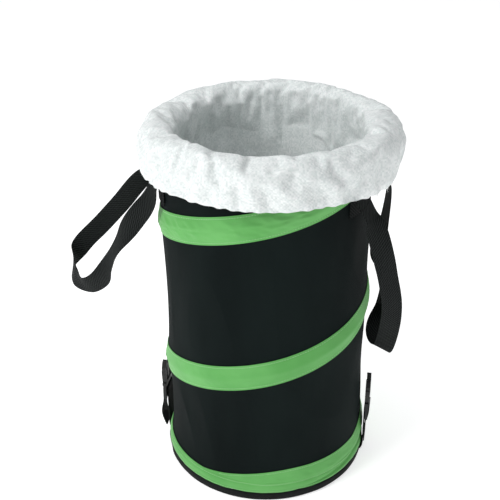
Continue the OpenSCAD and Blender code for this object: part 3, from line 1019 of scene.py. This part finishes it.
def sack_path():
    """Section of the sack from inside the bag over the rim to the hem, and the length along it.

    Its points are radius and height, at even steps.
    """
    inside = [(SACK_R, z) for z in np.linspace(PLAIN_TO, SACK_TOP, 24)]
    reach = 13 * MM
    crest_r, crest_z = SACK_R + reach, SACK_TOP + 10.5 * MM
    belly = CREST_Z - 40 * MM
    over = [(crest_r + reach * math.cos(a), SACK_TOP + (crest_z - SACK_TOP) * math.sin(a))
            for a in np.linspace(np.pi, np.pi / 2, 5)[1:]]
    out = [(crest_r + (CUFF_R - crest_r) * math.cos(a) ** 0.9, belly + (crest_z - belly) * math.sin(a))
           for a in np.linspace(np.pi / 2, 0, 9)[1:]]
    down = [(CUFF_R - 6 * MM * t * t, belly + (CUFF_LOW - belly) * t)
            for t in np.linspace(0, 1, 4)[1:]]
    path = np.array(inside + over + out + down)
    length = run_length(path)
    at = np.linspace(0, length[-1], SIM_ROWS)
    return np.stack([np.interp(at, length, path[:, 0]), np.interp(at, length, path[:, 1])], -1), at


def loose_sack():
    """The upper sack before it crumples: rolled out unevenly, and lower at both sides."""
    path, length = sack_path()
    angle = full_turn(SIM_COLS)
    outward = ring = around(1.0, angle, 0.0)
    r, z = path[:, 0:1] + 0 * angle, path[:, 1:2] + 0 * angle
    outer = ease((r - SACK_R) / (CUFF_R - SACK_R))
    uneven = 6.5 * np.cos(angle + 0.35) - 3.0 + 3.0 * field(ring, 0.6, 81, 2)
    below = np.clip((CREST_Z - 30 * MM - z) / (30 * MM), 0, 1) * (r > SACK_R + 14 * MM)
    hem = 2.0 * field(ring, 0.5, 82, 2) - 5.0 * np.cos(angle) ** 2 + 1.0
    from_turn = length - length_at_top(path, length) + 10 * MM
    inner = np.exp(-((from_turn / (36 * MM)) ** 2))[:, None]
    lean = 15 * np.clip(-np.cos(angle + 0.2), 0, 1) ** 1.5 + 4
    gather = (np.clip(3.0 * flutes(angle) + 1.0, 0, 7) + lean) * inner
    sunk = 2.0 * np.sin(angle) * inner
    grid = around(r + (outer * uneven - gather) * MM, angle, z + (below * hem - sunk) * MM)
    dents = field(grid, 30 * MM, 83, 1)[..., None] * outward * 1.2 * MM
    return grid + dents, length, path


def length_at_top(path, length):
    """Cloth length from the start of the path to the foot of the turn over the rim."""
    crest = int(np.argmax(path[:, 1]))
    return float(np.interp(SACK_TOP, path[:crest, 1], length[:crest]))


def crumpled(grid):
    """The sheet after it has spread a little against its held rows and buckled into soft facets.
    """
    rows, cols = grid.shape[:2]
    sheet = link("sheet_in_motion", grid, grid_faces(rows, cols, True), SACK)
    group = sheet.vertex_groups.new(name="held")
    for row, weight in HELD_ROWS.items():
        group.add([row * cols + j for j in range(cols)], weight, "REPLACE")
    soft = sheet.modifiers.new("soft", "CLOTH")
    soft.point_cache.frame_start, soft.point_cache.frame_end = 1, FRAMES
    soft.settings.quality = 6
    soft.settings.mass = 0.05
    soft.settings.tension_stiffness = soft.settings.compression_stiffness = 25
    soft.settings.shear_stiffness = 12
    soft.settings.bending_stiffness = 1.2
    soft.settings.air_damping = 3
    soft.settings.shrink_min = -SPREAD
    soft.settings.vertex_group_mass = "held"
    soft.settings.effector_weights.gravity = 0.0
    scene = bpy.context.scene
    for number in range(1, FRAMES + 1):
        scene.frame_set(number)
    shaped = sheet.evaluated_get(bpy.context.evaluated_depsgraph_get()).data
    now = np.array([v.co[:] for v in shaped.vertices]).reshape(grid.shape)
    scene.frame_set(1)
    bpy.data.objects.remove(sheet)
    move = now - grid
    far = np.linalg.norm(move, axis=-1, keepdims=True)
    return grid + move * np.minimum(1, MOVE_CAP / np.maximum(far, 1e-9))


def finer(grid, rows, cols):
    """The same sheet with more rows and columns, through smooth curves both ways."""
    def along(p, t, wrap):
        n = len(p)
        i = np.floor(t).astype(int)
        w = (t - i)[:, None, None]
        near = [(i + k) % n if wrap else np.clip(i + k, 0, n - 1) for k in (-1, 0, 1, 2)]
        return between(*(p[k] for k in near), w)

    tall = along(grid, np.linspace(0, len(grid) - 1, rows), False)
    wide = along(tall.transpose(1, 0, 2), np.arange(cols) * grid.shape[1] / cols, True)
    return wide.transpose(1, 0, 2)


def sack():
    """Upper sack as one crumpled sheet, cut at the foot of the turn: the inside and the cuff."""
    grid, length, path = loose_sack()
    fine = finer(crumpled(grid), SACK_ROWS, COLS)
    outward = unit(np.cross(np.gradient(fine, axis=1), np.gradient(fine, axis=0)))
    small = 0.35 * field(fine, 16 * MM, 84, 3)
    fine = held_in(fine + outward * (small * MM)[..., None])
    cut = int(round(length_at_top(path, length) / length[-1] * (SACK_ROWS - 1)))
    inside = np.concatenate([plain_sack(fine[0])[:-1], fine[: cut + 1]])
    up = run_length(inside[:, 0])[:, None]
    u = np.linspace(0, SACK_FLAT[0], COLS + 1)
    obj = cloth("sack_inside", inside, u, up, SACK, wrap=True, thick=SACK_THICK)
    place(obj, "liner", "woven_sack", "liner_sack")
    sack_shortens(obj)
    bottom_fold()
    mouth = fine[cut:]
    v = np.linspace(0, CUFF_FLAT[1], len(mouth))[:, None]
    obj = cloth("sack_cuff", mouth, u, v + up[-1], SACK, wrap=True, thick=SACK_THICK)
    place(obj, "liner", "woven_sack", "liner_turn", "liner_cuff")
    threads = frayed_edge(mouth)


def held_in(grid):
    """The sack inside lies against the wall and the rim, and not through them."""
    r, z = np.hypot(grid[..., 0], grid[..., 1]), grid[..., 2]
    inside = (np.arange(len(grid)) < np.argmax(z[:, 0]))[:, None]
    limit = SACK_R + 3.2 * MM * ease((z - RIM_LOW + 20 * MM) / (20 * MM))
    scale = np.where(inside & (r > limit) & (z < RIM_TOP), limit / np.maximum(r, 1e-6), 1.0)
    return grid * np.stack([scale, scale, np.ones_like(scale)], -1)


def sack_foot():
    """Section of the lower sack, from the middle of its bottom up to the crumpled part."""
    corner = 12 * MM
    floor_r = np.linspace(1 * MM, SACK_R - corner, 22)
    bend = np.linspace(0.15, 1, 6) * np.pi / 2
    wall_z = np.linspace(22 * MM, PLAIN_TO, 40)
    corner_r = SACK_R - corner + corner * np.sin(bend)
    r = np.concatenate([floor_r, corner_r, np.full(len(wall_z), SACK_R)])
    z = np.concatenate([np.full(len(floor_r), 5.8 * MM), 17 * MM - corner * np.cos(bend), wall_z])
    return r, z


def plain_sack(seam):
    """The lower sack, a little uneven, up to the row of points where the crumpled part starts."""
    angle = full_turn(COLS)
    r, z = (values[:, None] for values in sack_foot())
    share = np.linspace(0, 1, len(r))[:, None]
    foot = around(r + (np.linalg.norm(seam[:, :2], axis=1) - SACK_R) * share**2, angle, z)
    free = np.clip((PLAIN_TO - foot[..., 2]) / (30 * MM), 0, 1)
    crumple = field(foot, 42 * MM, 73, 2) * free
    inward = crumple * 1.5 * MM * np.clip(np.hypot(foot[..., 0], foot[..., 1]) / SACK_R, 0, 1) ** 3
    return foot - around(1.0, angle, 0.0) * (np.maximum(inward + 1.0 * MM, 0) * free)[..., None]


def sack_shortens(obj):
    """Gives a piece of the sack a mesh of its own."""
    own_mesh(obj)


def bottom_fold():
    """The stitched and folded hem across the bottom of the sack."""
    half = 12 * MM
    x = np.linspace(-125, 125, 120) * MM
    y = np.linspace(-half, half, 12)[:, None]
    rise = field(np.stack([x, 0 * x, 0 * x], -1), 40 * MM, 75) * 0.5 * MM
    z = 7.2 * MM + rise + 0.9 * MM * (1 - (y / half) ** 4)
    grid = np.stack(np.broadcast_arrays(x, y + 0 * x, z), -1)
    obj = cloth("sack_bottom_fold", grid, x, y, SACK, thick=1.2 * MM)
    place(obj, "liner", "woven_sack", "liner_bottom_fold")
    sack_shortens(obj)


def frayed_edge(grid):
    """Loose tapes hanging from the cut edge, mostly at the right."""
    rng = np.random.default_rng(5)
    hem = grid[-1]
    points, faces = [], []
    picks = np.concatenate([rng.integers(-40, 10, 24) % COLS, rng.integers(0, COLS, 3)])
    for j in picks:
        top = hem[j] + np.array([0, 0, 1.2 * MM])
        side = unit(np.array([-top[1], top[0], 0.0]))
        out = unit(np.array([top[0], top[1], 0.0]))
        length = rng.uniform(2, 7) * MM
        lean, curl = rng.normal(0, 0.35), rng.normal(0, 0.3)
        half = rng.uniform(0.4, 0.9) * MM
        start = len(points)
        for t in np.linspace(0, 1, 6):
            centre = top - np.array([0, 0, 1]) * length * t + side * lean * length * t**2
            centre = centre + out * curl * length * t**2
            points += [centre - side * half * (1 - 0.5 * t), centre + side * half * (1 - 0.5 * t)]
        corners = range(start, start + 10, 2)
        faces += [(i, i + 1, i + 3, i + 2) for i in corners]
    obj = link("sack_loose_tapes", np.array(points), faces, SACK, uv=np.zeros((len(faces) * 4, 2)))
    return place(obj, "liner", "woven_sack")


# ---------- everything ----------
camera()
studio()
wall()
spiral_casing()
spiral_wire()
spiral_seams()
base_casing()
base_binding()
base_panel()
rim()
for side_name, side, knots in (("left", -1, LEFT_LOOP), ("right", 1, RIGHT_LOOP)):
    handle(f"handle_{side_name}", side, knots)
    base_strap(f"base_strap_{side_name}", side)
    rim_strap(f"rim_strap_{side_name}", side)
finish_cad_parts()
sack()
